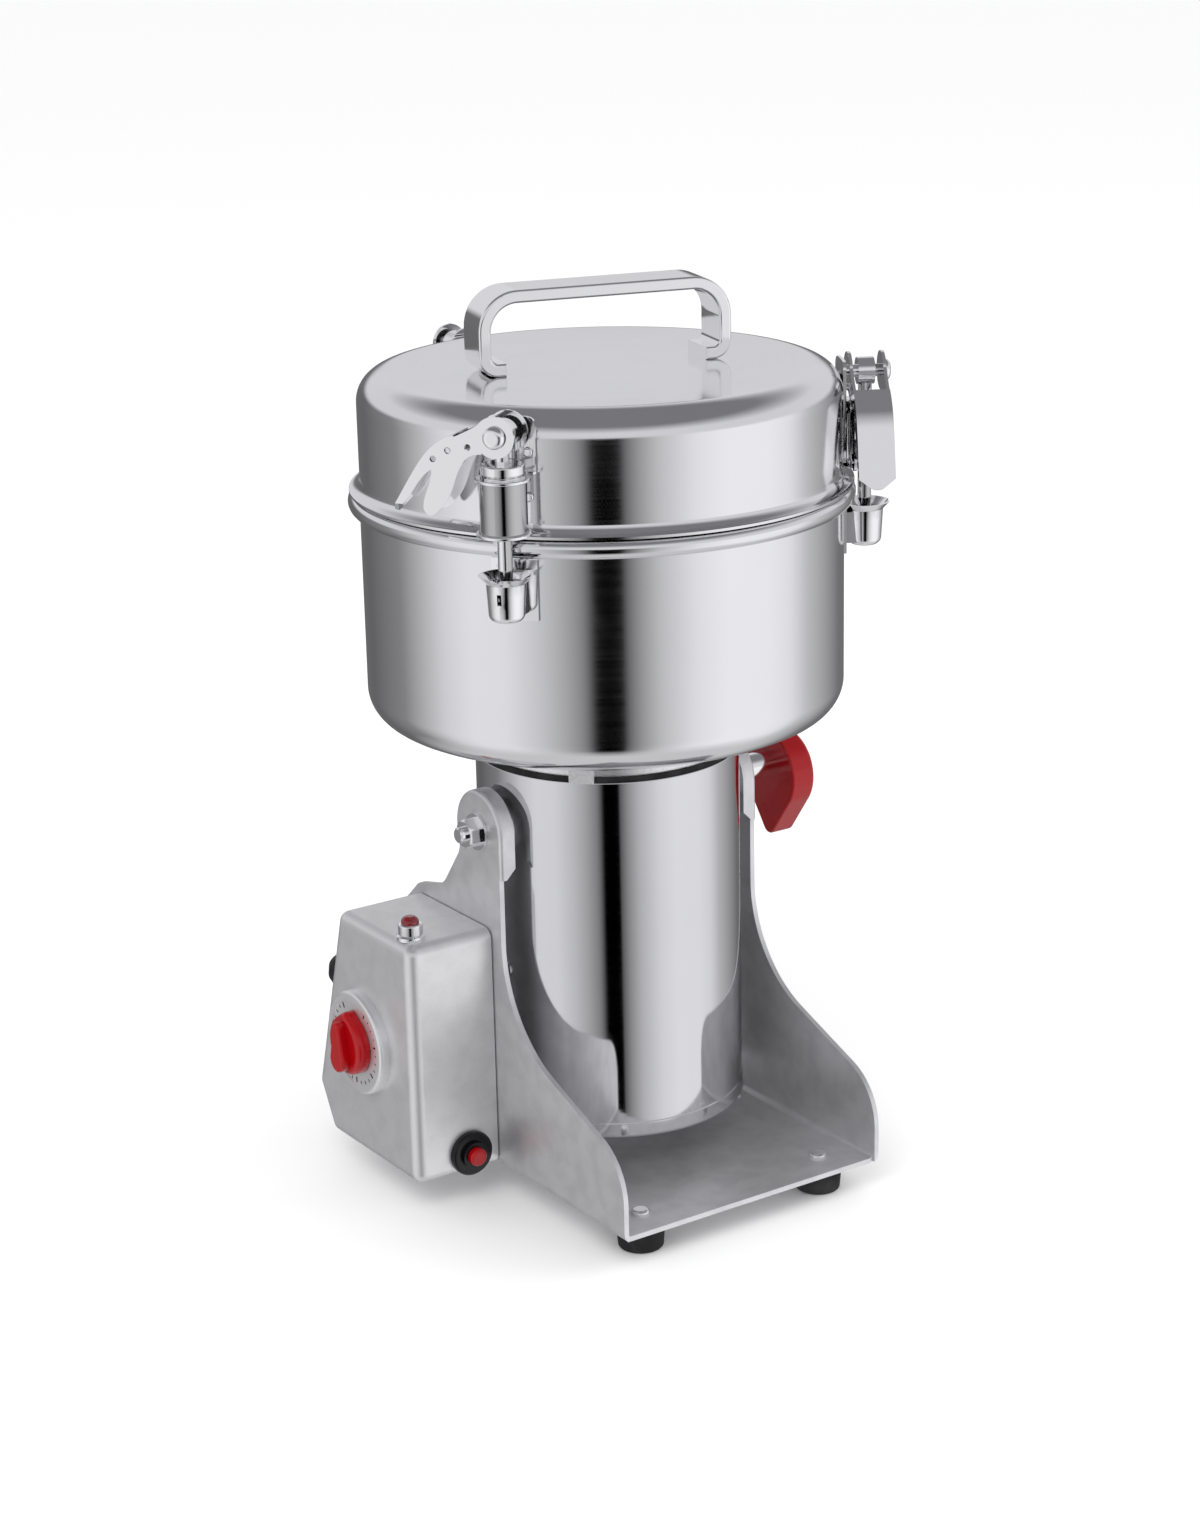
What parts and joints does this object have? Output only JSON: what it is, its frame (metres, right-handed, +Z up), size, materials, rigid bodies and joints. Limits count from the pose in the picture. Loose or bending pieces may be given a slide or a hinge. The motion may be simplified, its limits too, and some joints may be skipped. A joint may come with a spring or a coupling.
{
  "type": "hammer mill",
  "caption": "Swing-type high-speed grain mill: motor and latched grinding bowl that tilt between the cheeks of a bent-sheet stand, with timer, reset and lock knob.",
  "frame": {"origin": "on the table under the motor's centre line", "axes": "+Z up along the motor; the stand's open front faces -Y; +X towards the lock knob, control box at -X"},
  "size_m": [0.2601, 0.2586, 0.44],
  "materials": {
    "frame_paint": "satin silver-grey paint",
    "box_paint": "satin silver-grey paint",
    "stainless": "polished stainless",
    "motor_steel": "polished stainless",
    "bright_steel": "bright zinc or chrome",
    "cast_alloy": "cast, machined",
    "tool_steel": "ground",
    "rubber_black": "matt black",
    "silicone": "translucent white",
    "plastic_red": "glossy red",
    "plastic_black": "glossy black",
    "lens_red": "dark red lens",
    "copper": "enamelled copper",
    "carbon": "carbon",
    "dial_print": "printed silver"
  },
  "bodies": {
    "stand": {"base_frame": "frame_paint", "rubber_feet": "rubber_black", "foot_screws": "bright_steel", "control_box": "box_paint", "box_screws": "bright_steel", "timer_body": "plastic_black", "timer_dial": "dial_print", "pilot_bezel": "bright_steel", "pilot_lens": "lens_red", "breaker_body": "plastic_black", "cable_gland": "plastic_black", "gland_nut": "plastic_black"},
    "motor_unit": {"motor_housing": "motor_steel", "motor_end_cap": "motor_steel", "end_cap_screws": "bright_steel", "top_plate": "cast_alloy", "stator_core": "tool_steel", "field_coils": "copper", "lower_bearing": "bright_steel", "upper_bearing": "bright_steel", "brush_holders": "plastic_black", "carbon_brushes": "carbon", "pivot_bosses": "cast_alloy", "left_pivot_bolt": "bright_steel", "left_pivot_nut": "bright_steel", "pivot_washers": "bright_steel", "right_pivot_stud": "bright_steel", "isolation_ring": "rubber_black", "neck_ring": "cast_alloy", "bowl_screws": "bright_steel", "grinding_bowl": "stainless", "chamber_liner": "tool_steel", "shaft_seal": "cast_alloy", "strikes": "bright_steel"},
    "rotor": {"rotor_shaft": "tool_steel", "armature": "tool_steel", "commutator": "copper", "cooling_fan": "cast_alloy", "blade_lower": "tool_steel", "blade_middle": "tool_steel", "blade_upper": "tool_steel", "blade_spacers": "tool_steel", "blade_nut": "bright_steel"},
    "lid": {"lid_shell": "stainless", "lid_gasket": "silicone", "carry_handle": "bright_steel", "latch_bodies": "bright_steel", "latch_springs": "tool_steel"},
    "timer": {"timer_knob": "plastic_red", "timer_shaft": "bright_steel"},
    "reset": {"reset_button": "plastic_red"},
    "lock_knob": {"lock_grip": "plastic_red", "lock_collar": "bright_steel"},
    "rod_1": {"draw_rod_1": "bright_steel"},
    "lever_1": {"latch_lever_1": "bright_steel"},
    "rod_2": {"draw_rod_2": "bright_steel"},
    "lever_2": {"latch_lever_2": "bright_steel"},
    "rod_3": {"draw_rod_3": "bright_steel"},
    "lever_3": {"latch_lever_3": "bright_steel"}
  },
  "joints": [
    {"name": "tilt", "type": "hinge", "parent": "stand", "child": "motor_unit", "pos_m": [0, 0, 0.185], "axis": [1, 0, 0], "range_deg": [0, 95]},
    {"name": "rotor_spin", "type": "hinge", "parent": "motor_unit", "child": "rotor", "pos_m": [0, 0, 0.25], "axis": [0, 0, 1], "continuous": true},
    {"name": "lid_lift", "type": "slide", "parent": "motor_unit", "child": "lid", "axis": [0, 0, 1], "range_m": [0, 0.12]},
    {"name": "timer_turn", "type": "hinge", "parent": "stand", "child": "timer", "pos_m": [-0.127, 0.0385, 0.076], "axis": [1, 0, 0], "range_deg": [0, 300]},
    {"name": "reset_press", "type": "slide", "parent": "stand", "child": "reset", "axis": [0, 1, 0], "range_m": [0, 0.003], "stiffness_N_per_m": 400},
    {"name": "lock_turn", "type": "hinge", "parent": "motor_unit", "child": "lock_knob", "pos_m": [0.1, 0, 0.185], "axis": [1, 0, 0], "range_deg": [0, 360]},
    {"name": "rod_1_draw", "type": "slide", "parent": "lid", "child": "rod_1", "axis": [0, 0, -1], "range_m": [0, 0.0025]},
    {"name": "latch_1", "type": "hinge", "parent": "rod_1", "child": "lever_1", "pos_m": [0, 0.126, 0.3927], "axis": [0, -1, 0], "range_deg": [0, 105]},
    {"name": "rod_2_draw", "type": "slide", "parent": "lid", "child": "rod_2", "axis": [0, 0, -1], "range_m": [0, 0.0025]},
    {"name": "latch_2", "type": "hinge", "parent": "rod_2", "child": "lever_2", "pos_m": [-0.10194, -0.07406, 0.3927], "axis": [0.809, 0.5878, 0], "range_deg": [0, 105]},
    {"name": "rod_3_draw", "type": "slide", "parent": "lid", "child": "rod_3", "axis": [0, 0, -1], "range_m": [0, 0.0025]},
    {"name": "latch_3", "type": "hinge", "parent": "rod_3", "child": "lever_3", "pos_m": [0.1102, -0.06109, 0.3927], "axis": [-0.8746, 0.4848, 0], "range_deg": [0, 105]}
  ],
  "couplings": [
    {"joint": "rod_1_draw", "follows": "latch_1", "m_per_rad": 0.001363},
    {"joint": "rod_2_draw", "follows": "latch_2", "m_per_rad": 0.001363},
    {"joint": "rod_3_draw", "follows": "latch_3", "m_per_rad": 0.001363}
  ]
}
